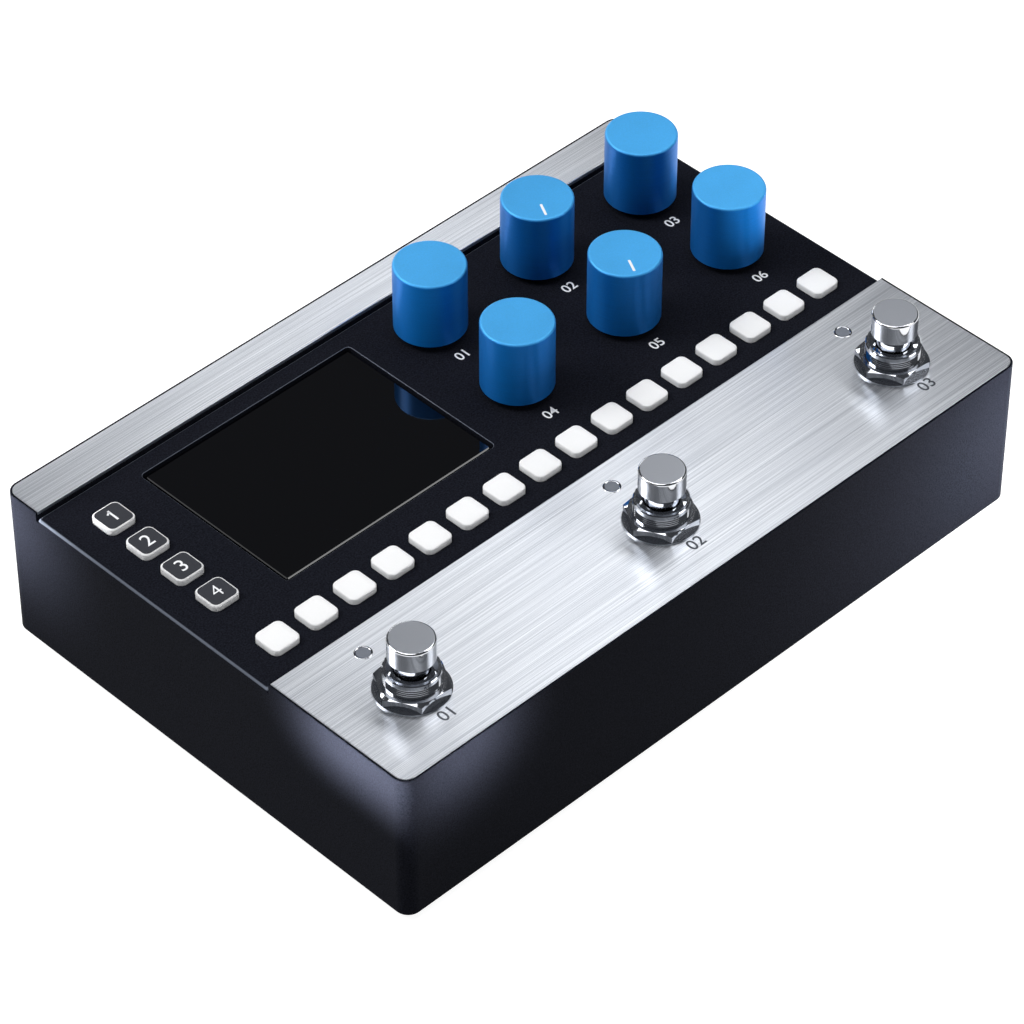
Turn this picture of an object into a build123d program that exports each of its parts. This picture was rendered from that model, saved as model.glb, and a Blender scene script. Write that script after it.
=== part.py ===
from build123d import *
import os

# Drum machine pedal, in millimetres, +Z up, front towards -Y
# The origin lies on the floor, under the middle of the whole object

# Casing
case_width = 180.0
case_depth = 120.0
case_height = 37.2
case_corner_radius = 3.2
case_bottom_radius = 0.5
wall_thickness = 2.5
deck_thickness = 2.5
foot_height = 1.5
cut_overrun = 1.0
pick_margin = 0.02

# Black control area between the two steel plates
front_plate_depth = 39.1
rear_plate_depth = 10.2
panel_drop = 0.5
groove_width = 0.4
groove_below_bend = 0.2
panel_end_radius = 0.8
panel_side_radius = 0.7
rim_edge_radius = 0.2

# Steel plates, each inside a thin rim of the case
plate_thickness = 0.85
plate_inset = 0.55
plate_gap = 0.05
rim_drop = 0.1
plate_edge_chamfer = 0.1

# Keys, and the push switch under each one
key_size = 7.1
key_corner_radius = 1.5
key_rise = 1.35
key_top_radius = 0.3
key_clearance = 0.15
key_from_side = 10.875
step_key_count = 16
number_key_count = 4
step_key_row = 48.3
number_key_setback = 18.0
key_travel = 0.5
key_stop_clearance = 0.1
key_flange_overhang = 0.6
key_flange_thickness = 1.0
key_flange_gap = 0.1
key_post_radius = 1.5
key_post_length = 0.6
switch_size = 6.0
switch_height = 3.5
switch_button_radius = 1.7
switch_button_height = 0.8

# Screen
screen_width = 57.6
screen_length = 43.6
screen_gap = 0.7
screen_drop = 0.5
screen_bevel = 0.3
screen_corner_radius = 0.4
screen_rim_radius = 0.2
screen_from_key_column = 13.725
screen_from_front = 82.2
display_side_margin = 5.8
display_end_margin = 3.2
display_slab_thickness = 3.0
display_leg_width = 4.0

# Knobs, shafts and their nuts
knob_radius = 8.05
knob_height = 16.5
knob_gap = 1.6
knob_edge_radius = 0.55
knob_from_screen = 17.1
knob_from_side = 16.5
knob_front_row = 69.9
knob_row_pitch = 26.5
knob_roof = 3.0
shaft_radius = 3.0
shaft_fit = 0.05
shaft_flat_depth = 1.2
shaft_flat_length = 8.0
shaft_end_gap = 0.3
shaft_sink = 2.5
bush_radius = 4.5
bush_height = 5.0
bush_clearance = 0.1
shaft_nut_across_flats = 11.0
shaft_nut_thickness = 2.0
shaft_nut_chamfer = 0.4
nut_thread_fit = 0.05
knob_inside_clearance = 0.6
encoder_width = 13.0
encoder_length = 12.4
potentiometer_width = 9.8
potentiometer_length = 11.4

# Footswitches and the status lights behind them
footswitch_from_side = 19.7
footswitch_row = 18.6
cap_radius = 5.0
cap_height = 4.85
cap_edge_radius = 0.45
cap_gap = 3.0
neck_radius = 3.6
neck_clearance = 0.25
neck_depth = 12.0
footswitch_travel = 1.4
footswitch_stop_clearance = 0.4
thread_radius = 5.95
thread_pitch = 0.5
thread_depth = 0.16
collar_rise = 6.0
collar_height = 1.1
collar_chamfer = 0.2
mouth_radius = 5.2
mouth_depth = 0.5
footswitch_hole_clearance = 0.15
washer_radius = 8.1
washer_thickness = 0.4
footswitch_nut_across_flats = 14.0
footswitch_nut_thickness = 2.1
footswitch_nut_chamfer = 0.5
footswitch_body_size = 17.0
footswitch_body_height = 18.0
footswitch_body_corner = 1.0
lug_width = 2.0
lug_thickness = 0.8
lug_length = 4.0
lug_spacing = 4.7
lug_count = 3
light_row = 32.7
light_radius = 1.5
light_clearance = 0.05
light_countersink = 0.35
light_gap = 0.1
light_source_size = 1.6
light_source_height = 1.0

# Bottom cover, bosses, screws and feet
base_thickness = 1.5
base_clearance = 0.2
boss_radius = 3.5
boss_inset = 7.5
screw_radius = 1.5
screw_fit = 0.05
screw_length = 8.0
screw_head_radius = 2.75
screw_head_height = 1.25
screw_hole_spare = 1.0
screw_drive_radius = 0.9
screw_drive_depth = 0.6
foot_radius = 7.0
foot_edge_radius = 0.5
foot_inset = 19.0

# Circuit boards and what holds them
board_thickness = 1.6
board_side_gap = 3.0
board_front_edge = 29.0
board_rear_gap = 2.5
boss_clearance = 0.6
base_standoff_height = 4.0
standoff_across_flats = 5.5
standoff_hole_radius = 1.25
standoff_front_inset = 10.0
standoff_front_row = 36.0
standoff_rear_inset = 17.0
standoff_rear_gap = 8.0
board_hole_radius = 1.6
board_screw_radius = 1.2
board_screw_length = 5.0
board_screw_head_radius = 2.5
board_screw_head_height = 1.6
header_width = 30.0
header_length = 5.0
header_height = 8.5
header_row = 60.0
header_gap = 0.1
chip_height = 1.4
chip_size_shares = ((0.10, 0.19), (0.07, 0.10), (0.05, 0.09), (0.06, 0.08))
chip_place_shares = ((-0.22, -0.05), (-0.05, 0.12), (0.18, 0), (-0.36, 0.18))

# Sockets in the rear wall
jack_reach = 4.0
jack_place_shares = (-0.025, 0.085, 0.195, 0.305)
jack_body_width = 15.5
jack_body_height = 16.0
jack_body_depth = 26.0
jack_body_corner = 1.0
jack_bush_radius = 4.5
jack_bore_radius = 3.2
jack_bore_length = 31.0
jack_hole_clearance = 0.15
jack_nut_across_flats = 12.0
jack_nut_thickness = 2.0
jack_mouth_chamfer = 0.5
midi_place_shares = (-0.175, -0.115)
midi_body_width = 6.6
midi_body_height = 6.4
midi_body_depth = 11.0
midi_nose_radius = 2.9
midi_bore_radius = 1.8
midi_bore_length = 12.0
nose_clearance = 0.1
nose_setback = 0.2
usb_place_share = -0.24
usb_width = 8.94
usb_height = 3.26
usb_depth = 7.4
usb_shell = 0.3
usb_corner_radius = 1.1
usb_lift = 0.3
usb_tongue_width = 6.7
usb_tongue_height = 0.7
usb_tongue_setback = 0.6
usb_back_thickness = 1.2
power_place_share = -0.325
power_body_width = 9.4
power_body_height = 11.0
power_body_depth = 12.0
power_nose_radius = 4.5
power_bore_radius = 3.2
power_bore_depth = 10.0
power_pin_radius = 1.0
power_pin_setback = 1.0
power_axis_share = 0.55

# Levels worked out from the sizes above
case_bottom = foot_height
seat_top = case_bottom + case_height
panel_top = seat_top - panel_drop
deck_underside = panel_top - deck_thickness
plate_top = seat_top + plate_thickness
rim_top = plate_top - rim_drop
base_top = case_bottom + base_thickness
key_stack = (key_flange_gap + key_flange_thickness + key_post_length + key_travel
             + key_stop_clearance + switch_button_height + switch_height)
control_board_top = deck_underside - key_stack
control_board_bottom = control_board_top - board_thickness
main_board_bottom = base_top + base_standoff_height
main_board_top = main_board_bottom + board_thickness

# Places along Y, counted from the front of the case
front_y = -(case_depth + jack_reach) / 2
rear_y = front_y + case_depth
case_middle_y = (front_y + rear_y) / 2
inner_rear_y = rear_y - wall_thickness
front_plate_edge = front_y + front_plate_depth
rear_plate_edge = rear_y - rear_plate_depth
panel_middle_y = (front_plate_edge + rear_plate_edge) / 2
panel_length = rear_plate_edge - front_plate_edge
step_key_y = front_y + step_key_row
first_number_key_y = step_key_y + number_key_setback
screen_y = front_y + screen_from_front
footswitch_y = front_y + footswitch_row
light_y = front_y + light_row
header_y = front_y + header_row

# Places along X: keys and footswitches between the sides, then the screen, then the knobs in what is left
left_x = -case_width / 2
first_key_x = left_x + key_from_side
key_pitch = (case_width - 2 * key_from_side) / (step_key_count - 1)
screen_x = first_key_x + screen_from_key_column + screen_width / 2
first_knob_x = screen_x + screen_width / 2 + knob_from_screen
knob_pitch = (case_width / 2 - knob_from_side - first_knob_x) / 2
footswitch_pitch = case_width / 2 - footswitch_from_side
footswitch_xs = [-footswitch_pitch, 0, footswitch_pitch]

# Places of the pieces that come more than once
step_key_places = [(first_key_x + n * key_pitch, step_key_y) for n in range(step_key_count)]
number_key_places = [
    (first_key_x, first_number_key_y + (number_key_count - 1 - n) * key_pitch)
    for n in range(number_key_count)
]
knob_places = {}
for row_name, row_y in (("front", knob_front_row), ("rear", knob_front_row + knob_row_pitch)):
    for column, column_name in enumerate(("left", "middle", "right")):
        knob_places[row_name + "_" + column_name] = (first_knob_x + column * knob_pitch, front_y + row_y)
potentiometer_names = ("front_middle", "rear_middle")
boss_places = [
    (side * (case_width / 2 - boss_inset), case_middle_y + end * (case_depth / 2 - boss_inset))
    for side in (-1, 1) for end in (-1, 1)
]
foot_places = [
    (side * (case_width / 2 - foot_inset), case_middle_y + end * (case_depth / 2 - foot_inset))
    for side in (-1, 1) for end in (-1, 1)
]
standoff_places = []
for side in (-1, 1):
    standoff_places.append((side * (case_width / 2 - standoff_front_inset), front_y + standoff_front_row))
    standoff_places.append((side * (case_width / 2 - standoff_rear_inset), rear_y - standoff_rear_gap))
board_width = case_width - 2 * (wall_thickness + board_side_gap)
board_length = case_depth - wall_thickness - board_rear_gap - board_front_edge
board_middle_y = front_y + board_front_edge + board_length / 2
jack_xs = [share * case_width for share in jack_place_shares]
jack_z = main_board_top + jack_body_height / 2
midi_xs = [share * case_width for share in midi_place_shares]
midi_z = main_board_top + midi_body_height / 2
usb_x = usb_place_share * case_width
usb_z = main_board_top + usb_lift + usb_height / 2
power_x = power_place_share * case_width
power_z = main_board_top + power_body_height * power_axis_share


# Simple shapes that the pieces are made from
def block(size_x, size_y, low, high, x, y, corner=0):
    outline = RectangleRounded(size_x, size_y, corner) if corner else Rectangle(size_x, size_y)
    return Pos(x, y, low) * extrude(outline, high - low)


def disc(radius, low, high, x, y):
    return Pos(x, y, low) * extrude(Circle(radius), high - low)


def cone(low_radius, high_radius, low, high, x, y):
    body = Cone(low_radius, high_radius, high - low, align=(Align.CENTER, Align.CENTER, Align.MIN))
    return Pos(x, y, low) * body


def hex_bar(across_flats, low, high, x, y):
    outline = RegularPolygon(across_flats / 2, 6, major_radius=False)
    return Pos(x, y, low) * extrude(outline, high - low)


def rear_disc(radius, front, rear, x, z):
    return Pos(x, front, z) * Rot(-90, 0, 0) * extrude(Circle(radius), rear - front)


def rear_block(size_x, size_z, front, rear, x, z, corner=0):
    outline = RectangleRounded(size_x, size_z, corner) if corner else Rectangle(size_x, size_z)
    return Pos(x, front, z) * Rot(-90, 0, 0) * extrude(outline, rear - front)


def hex_corner_radius(across_flats):
    return across_flats / 3 ** 0.5


def hex_nut(across_flats, hole_radius, thickness, chamfer_height, low, x, y):
    high = low + thickness
    corner_radius = hex_corner_radius(across_flats)
    bevel = disc(corner_radius, low, high - chamfer_height, x, y)
    bevel += cone(corner_radius, across_flats / 2, high - chamfer_height, high, x, y)
    nut = hex_bar(across_flats, low, high, x, y) & bevel
    return nut - disc(hole_radius, low - cut_overrun, high + cut_overrun, x, y)


def group(pieces):
    return Compound([solid for piece in pieces for solid in piece.solids()])


# Black case: four walls and the top, with a rimmed seat for each steel plate
def make_enclosure():
    shell = block(case_width, case_depth, case_bottom, rim_top, 0, case_middle_y, case_corner_radius)
    shell = fillet(shell.edges().group_by(Axis.Z)[0], case_bottom_radius)
    rim_width = plate_inset - plate_gap
    shell -= block(case_width - 2 * rim_width, case_depth - 2 * rim_width, seat_top, rim_top + cut_overrun,
                   0, case_middle_y, case_corner_radius - rim_width)
    wide = case_width + 2 * cut_overrun
    shell -= block(wide, panel_length, panel_top, rim_top + cut_overrun, 0, panel_middle_y)
    groove_low = panel_top - panel_end_radius - groove_below_bend
    for groove_y in (front_plate_edge + groove_width / 2, rear_plate_edge - groove_width / 2):
        shell -= block(wide, groove_width, groove_low, rim_top + cut_overrun, 0, groove_y)

    # rounded ends of the control area, then its two long sides, then the outer edges of the rims
    ends = shell.edges().filter_by(Axis.X)
    ends = ends.filter_by_position(Axis.Z, panel_top - pick_margin, panel_top + pick_margin)
    shell = fillet(ends, panel_end_radius)
    sides = [edge for edge in shell.edges() if is_panel_side(edge, groove_low)]
    shell = fillet(sides, panel_side_radius)
    shell = fillet([edge for edge in shell.edges() if is_rim_edge(edge)], rim_edge_radius)

    inner_width = case_width - 2 * wall_thickness
    inner_depth = case_depth - 2 * wall_thickness
    inner_corner = case_corner_radius - wall_thickness
    shell -= block(inner_width, inner_depth, case_bottom - cut_overrun, deck_underside, 0, case_middle_y,
                   inner_corner)
    for x, y in boss_places:
        boss = disc(boss_radius, base_top, deck_underside + deck_thickness / 2, x, y)
        hole_top = case_bottom + screw_length + screw_hole_spare
        shell += boss - disc(screw_radius + screw_fit, base_top - cut_overrun, hole_top, x, y)
    shell = shell - deck_cuts() - rear_wall_cuts()
    return fillet([edge for edge in shell.edges() if is_screen_rim(edge)], screen_rim_radius)


def is_screen_rim(edge):
    box = edge.bounding_box()
    level = box.min.Z > panel_top - pick_margin and box.max.Z < panel_top + pick_margin
    reach_x = screen_width / 2 + screen_gap + pick_margin
    reach_y = screen_length / 2 + screen_gap + pick_margin
    middle = edge.center()
    return level and abs(middle.X - screen_x) < reach_x and abs(middle.Y - screen_y) < reach_y


def is_panel_side(edge, groove_low):
    box = edge.bounding_box()
    on_side = abs(abs(edge.center().X) - case_width / 2) < pick_margin and box.size.X < pick_margin
    in_band = box.max.Z < panel_top + pick_margin and edge.center().Z > groove_low + pick_margin
    return on_side and in_band and box.size.Y > pick_margin and box.min.Z > groove_low - pick_margin


def is_rim_edge(edge):
    box = edge.bounding_box()
    at_top = box.min.Z > rim_top - pick_margin
    at_panel = any(box.size.Y < pick_margin and abs(box.min.Y - y) < pick_margin
                   for y in (front_plate_edge, rear_plate_edge))
    reach_x = max(abs(box.min.X), abs(box.max.X))
    reach_y = max(case_middle_y - box.min.Y, box.max.Y - case_middle_y)
    outer = reach_x > case_width / 2 - pick_margin or reach_y > case_depth / 2 - pick_margin
    return at_top and outer and not at_panel


def deck_cuts():
    low = deck_underside - cut_overrun
    high = plate_top + cut_overrun
    hole_size = key_size + 2 * key_clearance
    hole_corner = key_corner_radius + key_clearance
    cuts = [block(hole_size, hole_size, low, high, x, y, hole_corner)
            for x, y in step_key_places + number_key_places]
    screen_corner = screen_corner_radius + screen_gap
    cuts.append(block(screen_width + 2 * screen_gap, screen_length + 2 * screen_gap, low, high,
                      screen_x, screen_y, screen_corner))
    for x, y in knob_places.values():
        cuts.append(disc(bush_radius + bush_clearance, low, high, x, y))
    for x in footswitch_xs:
        cuts.append(disc(thread_radius + footswitch_hole_clearance, low, high, x, footswitch_y))
        cuts.append(disc(light_radius + light_clearance, low, high, x, light_y))
    return cuts


def rear_wall_cuts():
    front = inner_rear_y - cut_overrun
    rear = rear_y + cut_overrun
    cuts = [rear_disc(jack_bush_radius + jack_hole_clearance, front, rear, x, jack_z) for x in jack_xs]
    cuts += [rear_disc(midi_nose_radius + nose_clearance, front, rear, x, midi_z) for x in midi_xs]
    usb_slot_width = usb_width + 2 * nose_clearance
    usb_slot_height = usb_height + 2 * nose_clearance
    usb_slot_corner = usb_corner_radius + nose_clearance
    cuts.append(rear_block(usb_slot_width, usb_slot_height, front, rear, usb_x, usb_z, usb_slot_corner))
    cuts.append(rear_disc(power_nose_radius + nose_clearance, front, rear, power_x, power_z))
    return cuts


# Brushed steel plates on the top of the case
def make_plate(near_y, far_y, free_side):
    width = case_width - 2 * plate_inset
    length = far_y - near_y
    plate = block(width, length, seat_top, plate_top, 0, (near_y + far_y) / 2)
    upright = plate.edges().filter_by(Axis.Z).group_by(Axis.Y)[free_side]
    plate = fillet(upright, case_corner_radius - plate_inset)
    return chamfer(plate.edges().group_by(Axis.Z)[-1], plate_edge_chamfer)


def make_front_plate():
    plate = make_plate(front_y + plate_inset, front_plate_edge, 0)
    low = seat_top - cut_overrun
    high = plate_top + cut_overrun
    for x in footswitch_xs:
        plate -= disc(thread_radius + footswitch_hole_clearance, low, high, x, footswitch_y)
        hole_radius = light_radius + light_clearance
        plate -= disc(hole_radius, low, high, x, light_y)
        plate -= cone(hole_radius, hole_radius + light_countersink, plate_top - light_countersink, plate_top,
                      x, light_y)
    return plate


def make_rear_plate():
    return make_plate(rear_plate_edge, rear_y - plate_inset, -1)


# Keys: a square cap through the top, a rim that stops under it and a post for the switch
def make_key(x, y):
    cap = block(key_size, key_size, deck_underside - key_flange_gap, panel_top + key_rise, x, y,
                key_corner_radius)
    cap = fillet(cap.edges().group_by(Axis.Z)[-1], key_top_radius)
    rim_top = deck_underside - key_flange_gap
    rim_low = rim_top - key_flange_thickness
    rim_size = key_size + 2 * key_flange_overhang
    cap += block(rim_size, rim_size, rim_low, rim_top, x, y, key_corner_radius)
    return cap + disc(key_post_radius, rim_low - key_post_length, rim_low, x, y)


def make_key_switches():
    switches = []
    for x, y in step_key_places + number_key_places:
        top = control_board_top + switch_height
        switch = block(switch_size, switch_size, control_board_top, top, x, y)
        switches.append(switch + disc(switch_button_radius, top, top + switch_button_height, x, y))
    return group(switches)


# Screen glass in its cut-out, on the display under the top
def make_screen_glass():
    top = panel_top - screen_drop
    glass = block(screen_width, screen_length, deck_underside, top, screen_x, screen_y, screen_corner_radius)
    return chamfer(glass.edges().group_by(Axis.Z)[-1], screen_bevel)


def make_display_module():
    width = screen_width + 2 * display_side_margin
    length = screen_length + 2 * display_end_margin
    slab_low = deck_underside - display_slab_thickness
    module = block(width, length, slab_low, deck_underside, screen_x, screen_y, screen_corner_radius)
    for side in (-1, 1):
        leg_x = screen_x + side * (width - display_leg_width) / 2
        module += block(display_leg_width, length, control_board_top, slab_low, leg_x, screen_y)
    return module


# Encoders and potentiometers: a square body under the top and a threaded bush through it
def make_control_body(size_x, size_y, x, y):
    bush_top = panel_top + bush_height
    body = block(size_x, size_y, control_board_top, deck_underside, x, y)
    body += disc(bush_radius, deck_underside, bush_top, x, y)
    hole_low = deck_underside - shaft_sink - shaft_end_gap
    return body - disc(shaft_radius + shaft_fit, hole_low, bush_top + cut_overrun, x, y)


def make_encoder_bodies():
    return group([make_control_body(encoder_width, encoder_length, x, y)
                  for name, (x, y) in knob_places.items() if name not in potentiometer_names])


def make_potentiometer_bodies():
    return group([make_control_body(potentiometer_width, potentiometer_length, *knob_places[name])
                  for name in potentiometer_names])


def make_shaft_nuts():
    return group([hex_nut(shaft_nut_across_flats, bush_radius + nut_thread_fit, shaft_nut_thickness,
                          shaft_nut_chamfer, panel_top, x, y) for x, y in knob_places.values()])


def knob_top():
    return panel_top + knob_gap + knob_height


def shaft_top():
    return knob_top() - knob_roof


def flatted_shaft(radius, flat_from_axis, low, flat_low, high, x, y):
    shaft = disc(radius, low, high, x, y)
    flat = block(2 * radius, 2 * radius, flat_low, high + cut_overrun, x, y + flat_from_axis + radius)
    return shaft - flat


def make_shaft(x, y):
    low = deck_underside - shaft_sink
    flat_low = shaft_top() - shaft_flat_length
    return flatted_shaft(shaft_radius, shaft_radius - shaft_flat_depth, low, flat_low, shaft_top(), x, y)


# Knob: plain drum, hollowed under for the nut and the bush, with a flatted bore
def make_knob(x, y):
    low = panel_top + knob_gap
    knob = disc(knob_radius, low, knob_top(), x, y)
    knob = fillet(knob.edges().group_by(Axis.Z)[-1], knob_edge_radius)
    nut_room = hex_corner_radius(shaft_nut_across_flats) + knob_inside_clearance
    nut_room_top = panel_top + shaft_nut_thickness + knob_inside_clearance
    bush_room_top = panel_top + bush_height + knob_inside_clearance
    knob -= disc(nut_room, low - cut_overrun, nut_room_top, x, y)
    knob -= disc(bush_radius + knob_inside_clearance, low, bush_room_top, x, y)
    flat_low = shaft_top() - shaft_flat_length + shaft_end_gap
    flat_from_axis = shaft_radius - shaft_flat_depth + shaft_fit
    return knob - flatted_shaft(shaft_radius + shaft_fit, flat_from_axis, low, flat_low,
                                shaft_top() + shaft_end_gap, x, y)


# Footswitch: body and threaded bush below, round cap on a neck above
def bush_top_level():
    return plate_top + collar_rise


def make_threaded_bush(x):
    top = bush_top_level()
    thread_high = top - collar_height
    bare_thread = thread_high - plate_top - washer_thickness - footswitch_nut_thickness
    outline = [(0, deck_underside), (thread_radius, deck_underside)]
    for n in reversed(range(int(bare_thread / thread_pitch))):
        root = thread_high - (n + 1) * thread_pitch
        outline.append((thread_radius, root))
        outline.append((thread_radius - thread_depth, root + thread_pitch / 2))
    outline += [(thread_radius, thread_high), (thread_radius, top - collar_chamfer)]
    outline += [(thread_radius - collar_chamfer, top), (0, top)]
    profile = make_face(Polyline(*[(r, 0, z) for r, z in outline], close=True))
    return Pos(x, footswitch_y, 0) * revolve(profile, Axis.Z)


def make_footswitch_body(x):
    y = footswitch_y
    body_low = deck_underside - footswitch_body_height
    body = block(footswitch_body_size, footswitch_body_size, body_low, deck_underside, x, y,
                 footswitch_body_corner)
    for n in range(lug_count):
        lug_x = x + (n - (lug_count - 1) / 2) * lug_spacing
        body += block(lug_width, lug_thickness, body_low - lug_length, body_low, lug_x, y)
    room_low = deck_underside - neck_depth - footswitch_travel - footswitch_stop_clearance
    bush_top = bush_top_level()
    hole_radius = neck_radius + neck_clearance
    room = disc(hole_radius, room_low, bush_top + cut_overrun, x, y)
    mouth = cone(hole_radius, mouth_radius, bush_top - mouth_depth, bush_top, x, y)
    return body + make_threaded_bush(x) - room - mouth


def make_footswitch_cap(x):
    cap_low = bush_top_level() + cap_gap
    cap = disc(cap_radius, cap_low, cap_low + cap_height, x, footswitch_y)
    cap = fillet(cap.edges().group_by(Axis.Z)[-1], cap_edge_radius)
    return cap + disc(neck_radius, deck_underside - neck_depth, cap_low, x, footswitch_y)


def make_footswitch_nuts():
    low = plate_top + washer_thickness
    return group([hex_nut(footswitch_nut_across_flats, thread_radius + nut_thread_fit,
                          footswitch_nut_thickness, footswitch_nut_chamfer, low, x, footswitch_y)
                  for x in footswitch_xs])


def make_footswitch_washers():
    washers = []
    for x in footswitch_xs:
        top = plate_top + washer_thickness
        hole_radius = thread_radius + nut_thread_fit
        hole = disc(hole_radius, plate_top - cut_overrun, top + cut_overrun, x, footswitch_y)
        washers.append(disc(washer_radius, plate_top, top, x, footswitch_y) - hole)
    return group(washers)


def make_led_lenses():
    low = control_board_top + light_source_height + light_gap
    return group([disc(light_radius, low, plate_top, x, light_y) for x in footswitch_xs])


# Bottom cover inside the walls, with its screws and the rubber feet
def make_base_plate():
    gap = wall_thickness + base_clearance
    corner = case_corner_radius - gap
    base = block(case_width - 2 * gap, case_depth - 2 * gap, case_bottom, base_top, 0, case_middle_y, corner)
    for x, y in boss_places:
        base -= disc(screw_radius + screw_fit, case_bottom - cut_overrun, base_top + cut_overrun, x, y)
        base -= cone(screw_head_radius + screw_fit, screw_radius + screw_fit, case_bottom,
                     case_bottom + screw_head_height, x, y)
    return base


def make_base_screws():
    screws = []
    for x, y in boss_places:
        head_top = case_bottom + screw_head_height
        screw = cone(screw_head_radius, screw_radius, case_bottom, head_top, x, y)
        screw += disc(screw_radius, head_top, case_bottom + screw_length, x, y)
        screws.append(screw - hex_bar(2 * screw_drive_radius, case_bottom - cut_overrun,
                                      case_bottom + screw_drive_depth, x, y))
    return group(screws)


def make_rubber_feet():
    feet = []
    for x, y in foot_places:
        foot = disc(foot_radius, 0, case_bottom, x, y)
        feet.append(fillet(foot.edges().group_by(Axis.Z)[0], foot_edge_radius))
    return group(feet)


# Circuit boards, with the parts that are soldered to them
def make_bare_board(low, high):
    board = block(board_width, board_length, low, high, 0, board_middle_y)
    notch = 2 * (boss_radius + boss_clearance)
    for x, y in boss_places:
        board -= block(notch, notch, low - cut_overrun, high + cut_overrun, x, y)
    for x, y in standoff_places:
        board -= disc(board_hole_radius, low - cut_overrun, high + cut_overrun, x, y)
    return board


def make_control_board():
    board = make_bare_board(control_board_bottom, control_board_top)
    for x in footswitch_xs:
        board += block(light_source_size, light_source_size, control_board_top,
                       control_board_top + light_source_height, x, light_y)
    return board + block(header_width, header_length, control_board_bottom - header_height,
                         control_board_bottom, 0, header_y)


def make_main_board():
    board = make_bare_board(main_board_bottom, main_board_top)
    header_top = control_board_bottom - header_height - header_gap
    board += block(header_width, header_length, main_board_top, header_top, 0, header_y)
    for (size_x, size_y), (x, y) in zip(chip_size_shares, chip_place_shares):
        board += block(size_x * board_width, size_y * board_length, main_board_top,
                       main_board_top + chip_height, x * board_width, board_middle_y + y * board_length)
    return board


def make_board_standoffs():
    posts = []
    for x, y in standoff_places:
        for low, high in ((base_top, main_board_bottom), (main_board_top, control_board_bottom)):
            post = hex_bar(standoff_across_flats, low, high, x, y)
            posts.append(post - disc(standoff_hole_radius, low - cut_overrun, high + cut_overrun, x, y))
    return group(posts)


def make_board_screws():
    screws = []
    for x, y in standoff_places:
        head_top = control_board_top + board_screw_head_height
        screw = disc(board_screw_head_radius, control_board_top, head_top, x, y)
        screw += disc(board_screw_radius, control_board_top - board_screw_length, control_board_top, x, y)
        screws.append(screw - hex_bar(2 * screw_drive_radius, head_top - screw_drive_depth,
                                      head_top + cut_overrun, x, y))
    return group(screws)


# Sockets in the rear wall
def make_audio_jacks():
    jacks = []
    tip = rear_y + jack_reach
    for x in jack_xs:
        jack = rear_block(jack_body_width, jack_body_height, inner_rear_y - jack_body_depth, inner_rear_y,
                          x, jack_z, jack_body_corner)
        jack += rear_disc(jack_bush_radius, inner_rear_y, tip, x, jack_z)
        jack -= rear_disc(jack_bore_radius, tip - jack_bore_length, tip + cut_overrun, x, jack_z)
        rims = jack.edges().filter_by_position(Axis.Y, tip - pick_margin, tip + pick_margin)
        jacks.append(chamfer(rims.sort_by(SortBy.RADIUS)[-1], jack_mouth_chamfer))
    return group(jacks)


def make_audio_jack_nuts():
    nuts = []
    for x in jack_xs:
        nut = hex_nut(jack_nut_across_flats, jack_bush_radius + nut_thread_fit, jack_nut_thickness,
                      shaft_nut_chamfer, 0, 0, 0)
        nuts.append(Pos(x, rear_y, jack_z) * Rot(-90, 0, 0) * nut)
    return group(nuts)


def make_midi_jacks():
    jacks = []
    tip = rear_y - nose_setback
    for x in midi_xs:
        jack = rear_block(midi_body_width, midi_body_height, inner_rear_y - midi_body_depth, inner_rear_y,
                          x, midi_z)
        jack += rear_disc(midi_nose_radius, inner_rear_y, tip, x, midi_z)
        bore = rear_disc(midi_bore_radius, tip - midi_bore_length, tip + cut_overrun, x, midi_z)
        jacks.append(jack - bore)
    return group(jacks)


def make_usb_socket():
    tip = rear_y - nose_setback
    back = tip - usb_depth
    socket = rear_block(usb_width, usb_height, back, tip, usb_x, usb_z, usb_corner_radius)
    mouth_width = usb_width - 2 * usb_shell
    mouth_height = usb_height - 2 * usb_shell
    mouth_front = back + usb_back_thickness
    socket -= rear_block(mouth_width, mouth_height, mouth_front, tip + cut_overrun, usb_x, usb_z,
                         usb_corner_radius - usb_shell)
    tongue_tip = tip - usb_tongue_setback
    socket += rear_block(usb_tongue_width, usb_tongue_height, back, tongue_tip, usb_x, usb_z)
    foot_low = usb_z - usb_height / 2 - usb_lift
    return socket + block(usb_width / 2, usb_depth / 2, foot_low, foot_low + usb_lift + usb_shell, usb_x,
                          back + usb_depth / 4)


def make_power_socket():
    tip = rear_y - nose_setback
    body_z = main_board_top + power_body_height / 2
    socket = rear_block(power_body_width, power_body_height, inner_rear_y - power_body_depth, inner_rear_y,
                        power_x, body_z)
    socket += rear_disc(power_nose_radius, inner_rear_y, tip, power_x, power_z)
    floor_y = tip - power_bore_depth
    socket -= rear_disc(power_bore_radius, floor_y, tip + cut_overrun, power_x, power_z)
    pin_tip = tip - power_pin_setback
    return socket + rear_disc(power_pin_radius, floor_y - cut_overrun, pin_tip, power_x, power_z)


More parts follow.
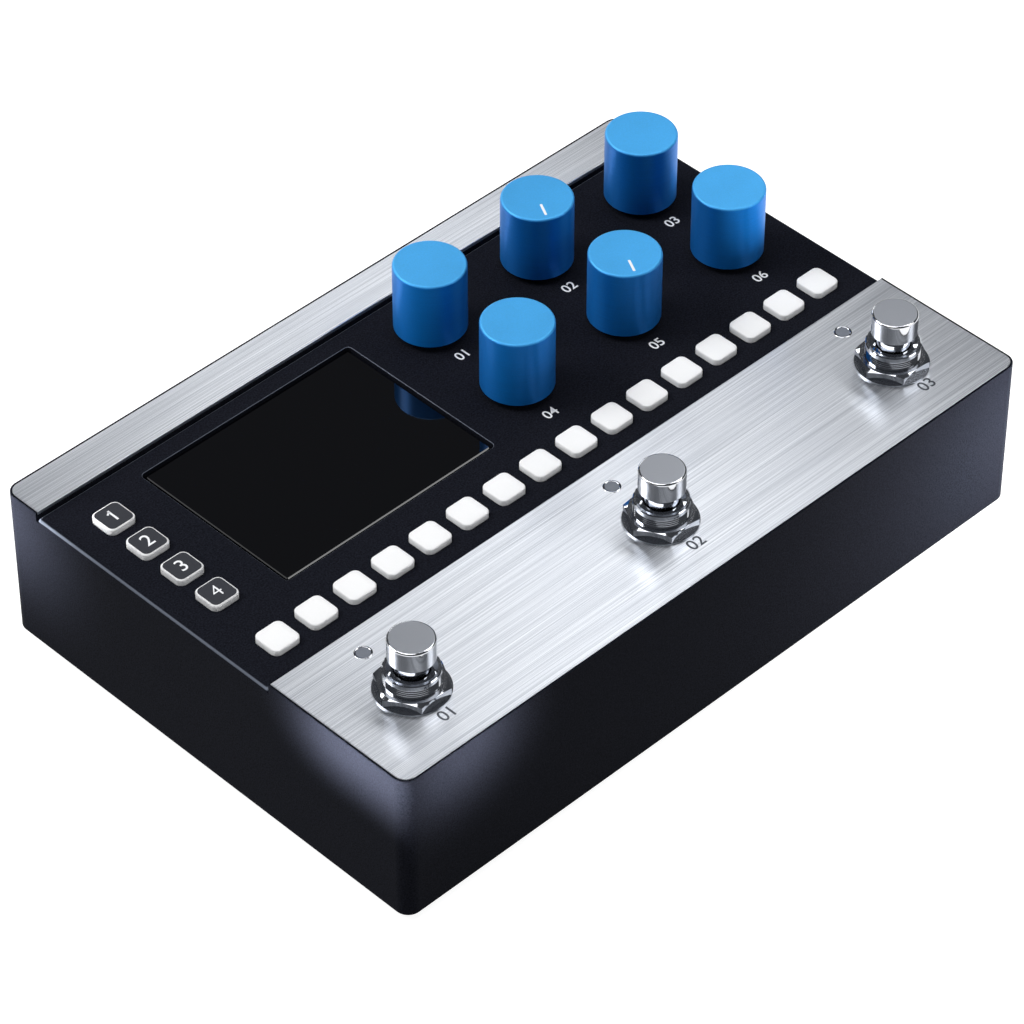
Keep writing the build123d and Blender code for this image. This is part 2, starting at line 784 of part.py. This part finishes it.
def all_nodes():
    nodes = {
        "enclosure": make_enclosure(),
        "front_plate": make_front_plate(),
        "rear_plate": make_rear_plate(),
        "screen_glass": make_screen_glass(),
        "display_module": make_display_module(),
        "key_switches": make_key_switches(),
        "encoder_bodies": make_encoder_bodies(),
        "potentiometer_bodies": make_potentiometer_bodies(),
        "shaft_nuts": make_shaft_nuts(),
        "footswitch_bodies": group([make_footswitch_body(x) for x in footswitch_xs]),
        "footswitch_nuts": make_footswitch_nuts(),
        "footswitch_washers": make_footswitch_washers(),
        "led_lenses": make_led_lenses(),
        "base_plate": make_base_plate(),
        "base_screws": make_base_screws(),
        "rubber_feet": make_rubber_feet(),
        "control_board": make_control_board(),
        "main_board": make_main_board(),
        "board_standoffs": make_board_standoffs(),
        "board_screws": make_board_screws(),
        "audio_jacks": make_audio_jacks(),
        "audio_jack_nuts": make_audio_jack_nuts(),
        "midi_jacks": make_midi_jacks(),
        "usb_socket": make_usb_socket(),
        "power_socket": make_power_socket(),
    }
    for n, (x, y) in enumerate(step_key_places):
        nodes["step_key_%02d" % (n + 1)] = make_key(x, y)
    for n, (x, y) in enumerate(number_key_places):
        nodes["number_key_%d" % (n + 1)] = make_key(x, y)
    for name, x in zip(("left", "middle", "right"), footswitch_xs):
        nodes["footswitch_" + name] = make_footswitch_cap(x)
    for name, (x, y) in knob_places.items():
        nodes["shaft_" + name] = make_shaft(x, y)
        nodes["knob_" + name] = make_knob(x, y)
    return nodes


os.makedirs("parts", exist_ok=True)
for node_name, node_shape in all_nodes().items():
    export_step(node_shape, "parts/" + node_name + ".step")
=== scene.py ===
import bpy
import math
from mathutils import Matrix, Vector


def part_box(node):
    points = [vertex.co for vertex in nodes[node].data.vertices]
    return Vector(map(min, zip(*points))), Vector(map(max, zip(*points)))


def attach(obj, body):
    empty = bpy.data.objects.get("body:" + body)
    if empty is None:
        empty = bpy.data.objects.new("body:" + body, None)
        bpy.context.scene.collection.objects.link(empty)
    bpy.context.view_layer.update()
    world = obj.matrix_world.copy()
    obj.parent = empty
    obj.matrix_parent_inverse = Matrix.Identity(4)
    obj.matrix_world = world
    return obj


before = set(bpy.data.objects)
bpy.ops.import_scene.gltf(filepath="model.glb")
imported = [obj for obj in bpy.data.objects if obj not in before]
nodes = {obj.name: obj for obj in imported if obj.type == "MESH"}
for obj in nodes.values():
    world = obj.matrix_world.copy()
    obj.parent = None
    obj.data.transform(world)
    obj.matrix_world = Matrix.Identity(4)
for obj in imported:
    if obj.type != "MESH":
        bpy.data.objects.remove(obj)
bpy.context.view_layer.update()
mm = 0.001
print("frame loaded with", len(nodes), "nodes")


# sRGB hex to the linear colour that a shader takes
def srgb(hexText):
    parts = [int(hexText[i:i + 2], 16) / 255 for i in (1, 3, 5)]
    linear = [p / 12.92 if p <= 0.04045 else ((p + 0.055) / 1.055) ** 2.4 for p in parts]
    return (*linear, 1.0)


# one node with its settings, and links given as input: output socket
def addNode(tree, kind, settings=None, links=None):
    node = tree.nodes.new(kind)
    for name, value in (settings or {}).items():
        if isinstance(name, int) or name in node.inputs:
            node.inputs[name].default_value = value
        else:
            setattr(node, name, value)
    for name, socket in (links or {}).items():
        tree.links.new(socket, node.inputs[name])
    return node


def startMaterial(name):
    material = bpy.data.materials.new(name)
    material.use_nodes = True
    material.node_tree.nodes.clear()
    return material, material.node_tree


def closeMaterial(material, tree, shader):
    addNode(tree, "ShaderNodeOutputMaterial", links={"Surface": shader.outputs[0]})
    return material


# object coordinates in millimetres, stretched by a factor along each axis
def mmCoords(tree, stretch=(1, 1, 1)):
    coords = addNode(tree, "ShaderNodeTexCoord").outputs["Object"]
    scale = [s / mm for s in stretch]
    return addNode(tree, "ShaderNodeMapping", {"Scale": scale}, {"Vector": coords}).outputs[0]


# how far a surface faces up: 1 on a flat top and 0 on a wall
def facingUp(tree):
    normal = addNode(tree, "ShaderNodeNewGeometry").outputs["Normal"]
    return addNode(tree, "ShaderNodeSeparateXYZ", links={0: normal}).outputs["Z"]


# noise with grains about this many millimetres across
def addNoise(tree, place, grainMm, detail, roughness=0.5):
    settings = {"Scale": 1 / grainMm, "Detail": detail, "Roughness": roughness}
    return addNode(tree, "ShaderNodeTexNoise", settings, {"Vector": place}).outputs[0]


# a value carried over from one span to another
def addSpan(tree, value, source=(0, 1), result=(0, 1)):
    settings = {"From Min": source[0], "From Max": source[1],
                "To Min": result[0], "To Max": result[1]}
    return addNode(tree, "ShaderNodeMapRange", settings, {"Value": value}).outputs[0]


# arithmetic on two values, each a socket or a plain number
def addMath(tree, operation, first, second):
    node = addNode(tree, "ShaderNodeMath", {"operation": operation})
    for socket, value in zip(node.inputs, (first, second)):
        if isinstance(value, (int, float)):
            socket.default_value = value
        else:
            tree.links.new(value, socket)
    return node.outputs[0]


# two colours, each a socket or an sRGB hex, mixed by a factor
def addMix(tree, factor, first, second):
    node = addNode(tree, "ShaderNodeMix", {"data_type": "RGBA"}, {0: factor})
    for place, colour in ((6, first), (7, second)):
        if isinstance(colour, str):
            node.inputs[place].default_value = srgb(colour)
        else:
            tree.links.new(colour, node.inputs[place])
    return node.outputs[2]


def addBump(tree, height, strength, depthMm):
    settings = {"Strength": strength, "Distance": depthMm * mm}
    return addNode(tree, "ShaderNodeBump", settings, {"Height": height}).outputs[0]


# aluminium case, powder coated black: satin, with a fine pebble in the coat, and a painted
# highlight, a paler colour, on the rounded edges of the panel
powderCoat = {
    "pebbleMm": 0.35, "pebbleDetail": 2.0, "pebbleSpan": (0.3, 0.7), "cloudMm": 22,
    "cloudDetail": 3.0, "roughChange": 0.05, "bump": 0.12, "bumpMm": 0.02,
    "leavesWall": (0.15, 0.4), "reachesTop": (0.95, 0.8),
}


def powderCoatedAluminium(name, colour, darker, paintedHighlightColour, edgeTopMm, roughness, specular):
    material, tree = startMaterial(name)
    place = mmCoords(tree)
    pebble = addNoise(tree, place, powderCoat["pebbleMm"], powderCoat["pebbleDetail"])
    cloud = addNoise(tree, place, powderCoat["cloudMm"], powderCoat["cloudDetail"])
    speck = addSpan(tree, pebble, powderCoat["pebbleSpan"])
    tint = addMix(tree, speck, darker, colour)
    facing = facingUp(tree)
    offWall = addSpan(tree, facing, powderCoat["leavesWall"])
    offTop = addSpan(tree, facing, powderCoat["reachesTop"])
    # mask of the rounded edges below the panel's top height, where the paler colour is painted on
    # as a highlight
    rounded = addMath(tree, "MULTIPLY", offWall, offTop)
    height = addNode(tree, "ShaderNodeSeparateXYZ", links={0: place}).outputs["Z"]
    onPanel = addMath(tree, "LESS_THAN", height, edgeTopMm)
    edge = addMath(tree, "MULTIPLY", rounded, onPanel)
    coatWithPaintedHighlight = addMix(tree, edge, tint, paintedHighlightColour)
    change = powderCoat["roughChange"]
    rough = addSpan(tree, cloud, result=(roughness - change, roughness + change))
    bump = addBump(tree, pebble, powderCoat["bump"], powderCoat["bumpMm"])
    shader = addNode(tree, "ShaderNodeBsdfPrincipled", {"Specular IOR Level": specular},
                     {"Base Color": coatWithPaintedHighlight, "Roughness": rough, "Normal": bump})
    return closeMaterial(material, tree, shader)


# stainless sheet brushed along the width: long hair lines that pull highlights across the grain
brushing = {
    "hairMm": 0.11, "hairLengthMm": 60, "hairDetail": 6.0, "hairRoughness": 0.65,
    "toneSpan": (0.36, 0.64), "roughChange": 0.06, "bump": 0.08, "bumpMm": 0.01,
    "anisotropic": 0.85,
}


def brushedStainless(name, pale, dark, roughness):
    material, tree = startMaterial(name)
    along = mmCoords(tree, (brushing["hairMm"] / brushing["hairLengthMm"], 1, 1))
    hair = addNoise(tree, along, brushing["hairMm"], brushing["hairDetail"],
                    brushing["hairRoughness"])
    tone = addSpan(tree, hair, brushing["toneSpan"])
    tint = addMix(tree, tone, dark, pale)
    change = brushing["roughChange"]
    rough = addSpan(tree, tone, result=(roughness - change, roughness + change))
    bump = addBump(tree, hair, brushing["bump"], brushing["bumpMm"])
    grain = addNode(tree, "ShaderNodeCombineXYZ", {"Y": 1.0}).outputs[0]
    shader = addNode(tree, "ShaderNodeBsdfPrincipled",
                     {"Metallic": 1.0, "Anisotropic": brushing["anisotropic"]},
                     {"Base Color": tint, "Roughness": rough, "Normal": bump, "Tangent": grain})
    return closeMaterial(material, tree, shader)


# metal parts, polished or ground and then plated: one gloss on the sides, and flat tops that
# can be duller
plating = {
    "wipeMm": 4, "wipeDetail": 4.0, "wipeStretch": (1, 1, 0.25), "wipeChange": (0.95, 1.05),
    "topSpan": (0.97, 0.995),
}


def polishedChrome(name, colour, topColour, roughness, topRoughness):
    material, tree = startMaterial(name)
    place = mmCoords(tree, plating["wipeStretch"])
    wipe = addNoise(tree, place, plating["wipeMm"], plating["wipeDetail"])
    onTop = addSpan(tree, facingUp(tree), plating["topSpan"])
    tint = addMix(tree, onTop, colour, topColour)
    ground = addSpan(tree, onTop, result=(roughness, topRoughness))
    worn = addSpan(tree, wipe, result=plating["wipeChange"])
    rough = addMath(tree, "MULTIPLY", ground, worn)
    shader = addNode(tree, "ShaderNodeBsdfPrincipled", {"Metallic": 1.0},
                     {"Base Color": tint, "Roughness": rough})
    return closeMaterial(material, tree, shader)


# turned aluminium knob, anodised blue: satin, with fine lines round the turned side and sandy on
# top; the top is painted paler as painted light and the side darker as painted shade
anodising = {
    "grainMm": 0.3, "turningMm": 0.22, "detail": 3.0, "turningStretch": (0.02, 0.02, 1),
    "topSpan": (0.2, 0.9), "speckSpan": (0.3, 0.7), "speckChange": (0.9, 1.08),
    "bump": 0.15, "bumpMm": 0.02, "anisotropic": 0.75,
}


def anodisedAluminium(name, topColour, paintedShadeSideColour, roughness, metallic):
    material, tree = startMaterial(name)
    grain = addNoise(tree, mmCoords(tree), anodising["grainMm"], anodising["detail"])
    turning = addNoise(tree, mmCoords(tree, anodising["turningStretch"]), anodising["turningMm"],
                       anodising["detail"])
    mean = addMath(tree, "MULTIPLY", addMath(tree, "ADD", grain, turning), 0.5)
    # the paler top colour is painted light and the darker side colour is painted shade
    onTop = addSpan(tree, facingUp(tree), anodising["topSpan"])
    paintedLightAndShadeTint = addMix(tree, onTop, paintedShadeSideColour, topColour)
    speck = addSpan(tree, mean, anodising["speckSpan"], anodising["speckChange"])
    tint = addNode(tree, "ShaderNodeMix", {"data_type": "RGBA", "blend_type": "MULTIPLY", 0: 1.0},
                   {6: paintedLightAndShadeTint, 7: speck}).outputs[2]
    bump = addBump(tree, mean, anodising["bump"], anodising["bumpMm"])
    onSide = addMath(tree, "SUBTRACT", 1.0, onTop)
    across = addNode(tree, "ShaderNodeCombineXYZ",
                     links={"X": onTop, "Y": onTop, "Z": onSide}).outputs[0]
    shader = addNode(tree, "ShaderNodeBsdfPrincipled",
                     {"Roughness": roughness, "Metallic": metallic,
                      "Anisotropic": anodising["anisotropic"]},
                     {"Base Color": tint, "Normal": bump, "Tangent": across})
    return closeMaterial(material, tree, shader)


# plain moulded or printed surface: one colour with a fine mould grain, and light inside it
# where it is silicone
moulding = {"detail": 2.0, "bump": 0.08, "bumpMm": 0.02, "glowWeight": 0.7}


def mouldedSurface(name, colour, darker, roughness, grainMm, specular=0.5, glowMm=0):
    material, tree = startMaterial(name)
    grain = addNoise(tree, mmCoords(tree), grainMm, moulding["detail"])
    tint = addMix(tree, grain, darker, colour)
    bump = addBump(tree, grain, moulding["bump"], moulding["bumpMm"])
    shader = addNode(tree, "ShaderNodeBsdfPrincipled",
                     {"Roughness": roughness, "Specular IOR Level": specular,
                      "Subsurface Weight": moulding["glowWeight"] if glowMm else 0.0,
                      "Subsurface Radius": (1.0, 1.0, 1.0), "Subsurface Scale": glowMm * mm},
                     {"Base Color": tint, "Normal": bump})
    return closeMaterial(material, tree, shader)


# float glass over a dark display: a black mirror with faint smears in the gloss
smears = {"smearMm": 9, "detail": 3.0, "dullest": 3}


def displayGlass(name, colour, roughness, specular):
    material, tree = startMaterial(name)
    smear = addNoise(tree, mmCoords(tree), smears["smearMm"], smears["detail"])
    rough = addSpan(tree, smear, result=(roughness, roughness * smears["dullest"]))
    shader = addNode(tree, "ShaderNodeBsdfPrincipled",
                     {"Base Color": srgb(colour), "Specular IOR Level": specular},
                     {"Roughness": rough})
    return closeMaterial(material, tree, shader)


# the panel lies lower than the plates, so this height takes in the panel's rounded edges, which
# get the painted highlight, and leaves out the rim round the plates
edgeBelowPlateMm = 1.25
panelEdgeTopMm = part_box("front_plate")[1][2] / mm - edgeBelowPlateMm
finishes = {
    # the third colour is the painted highlight on the panel's rounded edges
    "caseBlack": powderCoatedAluminium("powder_coated_aluminium", "#1f2129", "#101116", "#666c78",
                                       panelEdgeTopMm, 0.42, 0.006),
    "steel": brushedStainless("brushed_stainless_steel", "#e6e9ee", "#a8adb6", 0.36),
    "chrome": polishedChrome("polished_chrome_plate", "#e3e5e9", "#b8bcc4", 0.06, 0.36),
    # the knobs' paler top colour and darker side colour are painted light and painted shade
    "blue": anodisedAluminium("anodised_aluminium_blue", "#4ab1f4", "#0872c6", 0.42, 0.5),
    "white": mouldedSurface("moulded_silicone_white", "#fbfcfd", "#f6f8fa", 0.5, 0.4, 0.4, 1.6),
    "glass": displayGlass("display_glass_black", "#050507", 0.015, 0.8),
    "lens": mouldedSurface("moulded_acrylic_smoke", "#7a7f88", "#6c717a", 0.2, 1.2),
    "nickel": polishedChrome("polished_nickel_plate", "#cdd0d6", "#cdd0d6", 0.06, 0.14),
    "blackNut": polishedChrome("black_zinc_plate", "#3a3b3f", "#3a3b3f", 0.25, 0.3),
    "zinc": polishedChrome("zinc_plated_steel", "#b9bbbd", "#b9bbbd", 0.3, 0.35),
    "rubber": mouldedSurface("moulded_rubber_black", "#1b1b1c", "#141415", 0.8, 0.5, 0.3),
    "nylon": mouldedSurface("moulded_nylon_black", "#18181a", "#121214", 0.5, 0.3, 0.4),
    "ink": mouldedSurface("screen_printed_ink_dark", "#2f3138", "#2b2d34", 0.55, 0.3, 0.3),
    "whiteInk": mouldedSurface("screen_printed_ink_white", "#f4f5f7", "#eceef1", 0.6, 0.3, 0.3),
    "greyInk": mouldedSurface("screen_printed_ink_grey", "#4a4e57", "#43474f", 0.6, 0.3, 0.3),
    "board": mouldedSurface("solder_mask_green", "#1d5b37", "#174a2d", 0.4, 2.0),
}

nodeFinish = {
    "enclosure": "caseBlack", "base_plate": "caseBlack", "base_screws": "blackNut",
    "rubber_feet": "rubber", "front_plate": "steel", "rear_plate": "steel",
    "screen_glass": "glass", "display_module": "nylon", "control_board": "board",
    "main_board": "board", "board_standoffs": "zinc", "board_screws": "zinc",
    "key_switches": "nylon", "encoder_bodies": "zinc", "potentiometer_bodies": "zinc",
    "shaft_nuts": "blackNut", "footswitch_bodies": "nickel", "footswitch_nuts": "nickel",
    "footswitch_washers": "nickel", "led_lenses": "lens", "audio_jacks": "nylon",
    "audio_jack_nuts": "zinc", "midi_jacks": "nylon", "usb_socket": "zinc",
    "power_socket": "nylon",
}
prefixFinish = {"step_key": "white", "number_key": "white", "footswitch_": "chrome",
                "knob_": "blue", "shaft_": "zinc"}

for nodeName, node in nodes.items():
    finish = nodeFinish.get(nodeName)
    if finish is None:
        finish = next(f for prefix, f in prefixFinish.items() if nodeName.startswith(prefix))
    node.data.materials.clear()
    node.data.materials.append(finishes[finish])
print("finishes put on the frame")


# settings and helpers that all the new pieces share; a digit's height is a share of its
# font's size
making = {"smoothAngle": 35, "cornerSteps": 6, "curveSteps": 6, "digitShare": 0.7}


def deselectAll():
    if bpy.context.object and bpy.context.object.mode != "OBJECT":
        bpy.ops.object.mode_set(mode="OBJECT")
    bpy.ops.object.select_all(action="DESELECT")


# selects the edges whose two ends pass a test
def pickEdges(piece, wanted):
    bpy.ops.object.mode_set(mode="EDIT")
    bpy.ops.mesh.select_mode(type="EDGE")
    bpy.ops.mesh.select_all(action="DESELECT")
    bpy.ops.object.mode_set(mode="OBJECT")
    points = piece.data.vertices
    for edge in piece.data.edges:
        edge.select = wanted(points[edge.vertices[0]].co, points[edge.vertices[1]].co)
    bpy.ops.object.mode_set(mode="EDIT")


# puts a piece's place into its mesh, gives it a finish and lets it ride on a body
def settle(piece, name, finish, body):
    deselectAll()
    piece.select_set(True)
    bpy.context.view_layer.objects.active = piece
    bpy.ops.object.transform_apply(location=True, rotation=True, scale=True)
    bpy.ops.object.shade_smooth_by_angle(angle=math.radians(making["smoothAngle"]))
    piece.name = name
    piece.data.name = name
    piece.data.materials.clear()
    piece.data.materials.append(finishes[finish])
    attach(piece, body)


# thin plate with round corners, lying flat on the given place
def addTile(width, length, thick, corner, place, turn=0):
    deselectAll()
    bpy.ops.mesh.primitive_cube_add(size=1, location=(0, 0, 0))
    tile = bpy.context.object
    tile.scale = (width * mm, length * mm, thick * mm)
    bpy.ops.object.transform_apply(location=False, rotation=False, scale=True)
    pickEdges(tile, lambda a, b: abs(a.z - b.z) > thick * mm / 2)
    bpy.ops.mesh.bevel(offset=corner * mm, segments=making["cornerSteps"], affect="EDGES")
    bpy.ops.object.mode_set(mode="OBJECT")
    tile.location = (place[0], place[1], place[2] + thick * mm / 2)
    tile.rotation_euler = (0, 0, math.radians(turn))
    return tile


# printed number, lying flat and read from the front
def addNumber(number, height, thick, bolder, place):
    deselectAll()
    bpy.ops.object.text_add(location=(0, 0, 0))
    text = bpy.context.object
    text.data.body = number
    text.data.align_x = "CENTER"
    text.data.align_y = "CENTER"
    text.data.size = height * mm / making["digitShare"]
    text.data.extrude = thick * mm / 2
    text.data.offset = bolder * mm
    text.data.resolution_u = making["curveSteps"]
    bpy.ops.object.convert(target="MESH")
    text = bpy.context.object
    text.location = (place[0], place[1], place[2] + thick * mm / 2)
    return text


# the middle of a node's top
def topOf(nodeName):
    low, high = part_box(nodeName)
    return (low[0] + high[0]) / 2, (low[1] + high[1]) / 2, high[2]


# dark printed square on each number key, with its number in white; the 1 gets a flag
keyPrint = {
    "size": 6.35, "corner": 1.25, "thick": 0.03, "digit": 3.4, "digitThick": 0.02,
    "bolder": {"1": 0.01, "2": 0.01, "3": 0.01, "4": -0.05},
    "flagWidth": 0.42, "flagLength": 1.1, "flagCornerShare": 0.1, "flagLeft": 0.42,
    "flagUp": 1.2, "flagTurn": -52,
}
for number, bolder in keyPrint["bolder"].items():
    keyName = "number_key_" + number
    x, y, z = topOf(keyName)
    tile = addTile(keyPrint["size"], keyPrint["size"], keyPrint["thick"], keyPrint["corner"],
                   (x, y, z))
    settle(tile, "key_print_" + number, "ink", keyName)
    printTop = z + keyPrint["thick"] * mm
    digit = addNumber(number, keyPrint["digit"], keyPrint["digitThick"], bolder, (x, y, printTop))
    if number == "1":
        place = (x - keyPrint["flagLeft"] * mm, y + keyPrint["flagUp"] * mm, printTop)
        flag = addTile(keyPrint["flagWidth"], keyPrint["flagLength"], keyPrint["digitThick"],
                       keyPrint["flagWidth"] * keyPrint["flagCornerShare"], place,
                       keyPrint["flagTurn"])
        digit.select_set(True)
        bpy.context.view_layer.objects.active = digit
        bpy.ops.object.join()
    settle(digit, "key_digit_" + number, "whiteInk", keyName)
print("number keys printed")


# white pointer line on the two knobs that stop at both ends
pointer = {"length": 3.8, "width": 0.55, "thick": 0.03, "cornerShare": 0.3, "reach": 4.5,
           "turn": 27.5}
for row in ("front", "rear"):
    knobName = "knob_%s_middle" % row
    x, y, z = topOf(knobName)
    turn = math.radians(pointer["turn"])
    place = (x - math.sin(turn) * pointer["reach"] * mm,
             y - math.cos(turn) * pointer["reach"] * mm, z)
    line = addTile(pointer["width"], pointer["length"], pointer["thick"],
                   pointer["width"] * pointer["cornerShare"], place, -pointer["turn"])
    settle(line, "pointer_" + row, "whiteInk", knobName)
print("pointer lines on the knobs")


# bright thin ring in the countersunk edge of each status light
lightRing = {"radius": 1.75, "thick": 0.25, "flat": 0.6, "sink": 0.08, "roundSteps": 64,
             "wireSteps": 12}
sides = ("left", "middle", "right")
lightLow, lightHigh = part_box("led_lenses")
for side in sides:
    x = topOf("footswitch_" + side)[0]
    deselectAll()
    bpy.ops.mesh.primitive_torus_add(
        major_radius=lightRing["radius"] * mm, minor_radius=lightRing["thick"] * mm,
        major_segments=lightRing["roundSteps"], minor_segments=lightRing["wireSteps"],
        location=(0, 0, 0))
    ring = bpy.context.object
    bpy.ops.object.mode_set(mode="EDIT")
    bpy.ops.mesh.select_all(action="SELECT")
    bpy.ops.transform.resize(value=(1, 1, lightRing["flat"]))
    bpy.ops.object.mode_set(mode="OBJECT")
    ring.location = (x, (lightLow[1] + lightHigh[1]) / 2, lightHigh[2] - lightRing["sink"] * mm)
    settle(ring, "light_ring_" + side, "nickel", "case")
print("rings round the status lights")


# plain numbers beside each knob and footswitch
labels = {"knobDown": 11.0, "knobLeft": 1.0, "knobHeight": 2.5, "switchRow": 8.6,
          "switchHeight": 2.9, "thick": 0.02, "bolder": 0.035, "nutHeight": 2.0}
panelTop = topOf("shaft_nuts")[2] - labels["nutHeight"] * mm
plateTop = topOf("front_plate")[2]
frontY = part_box("enclosure")[0][1]
knobOrder = [row + "_" + side for row in ("rear", "front") for side in sides]
for number, knob in enumerate(knobOrder, 1):
    x, y, z = topOf("knob_" + knob)
    place = (x - labels["knobLeft"] * mm, y - labels["knobDown"] * mm, panelTop)
    mark = addNumber("%02d" % number, labels["knobHeight"], labels["thick"], labels["bolder"],
                     place)
    settle(mark, "knob_label_%d" % number, "whiteInk", "case")
for number, side in enumerate(sides, 1):
    x, y, z = topOf("footswitch_" + side)
    place = (x, frontY + labels["switchRow"] * mm, plateTop)
    mark = addNumber("%02d" % number, labels["switchHeight"], labels["thick"], labels["bolder"],
                     place)
    settle(mark, "footswitch_label_%d" % number, "greyInk", "case")
print("controls numbered")


# studio: a floor that shows white, dim air, a broad skylight and soft lamps; the last four
# lamps stand close to the walls
studio = {
    "floorSize": 12.0, "floorColour": "#a0a0a0", "floorGlow": 0.9, "floorRoughness": 0.9,
    "worldColour": "#8d9096", "worldStrength": 0.22,
    "sunStrength": 0.9, "sunAngle": 36, "sunTilt": (-10, -6),
}
lamps = {
    "overhead_right": {"place": (0.53, -0.02, 0.9), "target": (0.02, -0.02, 0.04),
                       "size": (0.9, 0.26), "watts": 2.75},
    "left_key": {"place": (-0.6, 0.7, 0.95), "target": (0, 0, 0.03),
                 "size": (0.6, 0.4), "watts": 9.0},
    "front_right_low": {"place": (0.66, -0.84, 0.64), "target": (0, 0, 0.03),
                        "size": (0.5, 0.3), "watts": 1.6},
    "left_rear_strip": {"place": (-0.75, 0.7, 0.55), "target": (0, 0, 0.03),
                        "size": (0.9, 0.25), "watts": 0.6},
    "rear_right_strip": {"place": (0.265, 0.505, 0.29), "target": (-0.02, 0.055, 0.045),
                         "size": (0.24, 0.08), "watts": 0.25},
    "camera_fill": {"place": (-0.8, -0.72, 0.6), "target": (0, 0, 0.03),
                    "size": (0.4, 0.4), "watts": 2.2, "mirrored": False},
    "left_wall_front": {"place": (-0.106, -0.05, 0.036), "target": (-0.09, -0.05, 0.0385),
                        "size": (0.03, 0.006), "watts": 0.026, "spread": 100,
                        "mirrored": False},
    "left_wall_rear": {"place": (-0.122, 0.066, 0.036), "target": (-0.09, 0.062, 0.034),
                       "size": (0.02, 0.02), "watts": 0.03, "spread": 80, "mirrored": False},
    "front_wall_right": {"place": (0.12, -0.115, 0.024), "target": (0.09, -0.06, 0.024),
                         "size": (0.03, 0.02), "watts": 0.105, "spread": 100,
                         "mirrored": False},
    "front_wall_left": {"place": (-0.074, -0.082, 0.04), "target": (-0.074, -0.062, 0.038),
                        "size": (0.02, 0.01), "watts": 0.011, "spread": 90,
                        "mirrored": False},
}


def addFloor():
    bpy.ops.object.select_all(action="DESELECT")
    bpy.ops.mesh.primitive_plane_add(size=studio["floorSize"], location=(0, 0, 0))
    floor = bpy.context.object
    floor.name = "floor"
    material, tree = startMaterial("painted_studio_floor")
    path = addNode(tree, "ShaderNodeLightPath")
    seen = addMath(tree, "ADD", path.outputs["Is Camera Ray"], path.outputs["Is Glossy Ray"])
    seenAll = addNode(tree, "ShaderNodeMath", {"operation": "ADD", "use_clamp": True},
                      {0: seen, 1: path.outputs["Is Transmission Ray"]}).outputs[0]
    glow = addMath(tree, "MULTIPLY", seenAll, studio["floorGlow"])
    shader = addNode(tree, "ShaderNodeBsdfPrincipled",
                     {"Base Color": srgb(studio["floorColour"]),
                      "Roughness": studio["floorRoughness"], "Specular IOR Level": 0.0,
                      "Emission Color": (1, 1, 1, 1)},
                     {"Emission Strength": glow})
    floor.data.materials.append(closeMaterial(material, tree, shader))


# area lamp that the camera doesn't see, and that reflections show only where it is mirrored
def addSoftbox(name, place, target, size, watts, spread=180, mirrored=True):
    light = bpy.data.lights.new(name, "AREA")
    light.shape = "RECTANGLE"
    light.size, light.size_y = size
    light.energy = watts
    light.spread = math.radians(spread)
    lamp = bpy.data.objects.new(name, light)
    lamp.visible_camera = False
    lamp.visible_glossy = mirrored
    lamp.location = place
    aim = Vector(target) - Vector(place)
    lamp.rotation_euler = aim.to_track_quat("-Z", "Y").to_euler()
    bpy.context.scene.collection.objects.link(lamp)


def addStudio():
    addFloor()
    world = bpy.data.worlds.new("studio_air")
    world.use_nodes = True
    air = world.node_tree.nodes["Background"]
    air.inputs["Color"].default_value = srgb(studio["worldColour"])
    air.inputs["Strength"].default_value = studio["worldStrength"]
    bpy.context.scene.world = world
    sun = bpy.data.lights.new("skylight", "SUN")
    sun.energy = studio["sunStrength"]
    sun.angle = math.radians(studio["sunAngle"])
    sky = bpy.data.objects.new("skylight", sun)
    sky.rotation_euler = [math.radians(a) for a in studio["sunTilt"]] + [0]
    bpy.context.scene.collection.objects.link(sky)
    for name, lamp in lamps.items():
        addSoftbox(name, **lamp)


# camera where the photograph was taken from
view = {"place": (-0.5273, -0.53598, 0.69845), "turn": (47.662, 0, -44.529), "lens": 167.85,
        "sensor": 36, "clipStart": 0.01}


def addCamera():
    data = bpy.data.cameras.new("photo_view")
    data.lens = view["lens"]
    data.sensor_width = view["sensor"]
    data.clip_start = view["clipStart"]
    camera = bpy.data.objects.new("photo_view", data)
    camera.location = view["place"]
    camera.rotation_euler = [math.radians(a) for a in view["turn"]]
    bpy.context.scene.collection.objects.link(camera)
    bpy.context.scene.camera = camera


addStudio()
addCamera()
bpy.context.scene.view_settings.view_transform = "Standard"
print("studio and camera set")
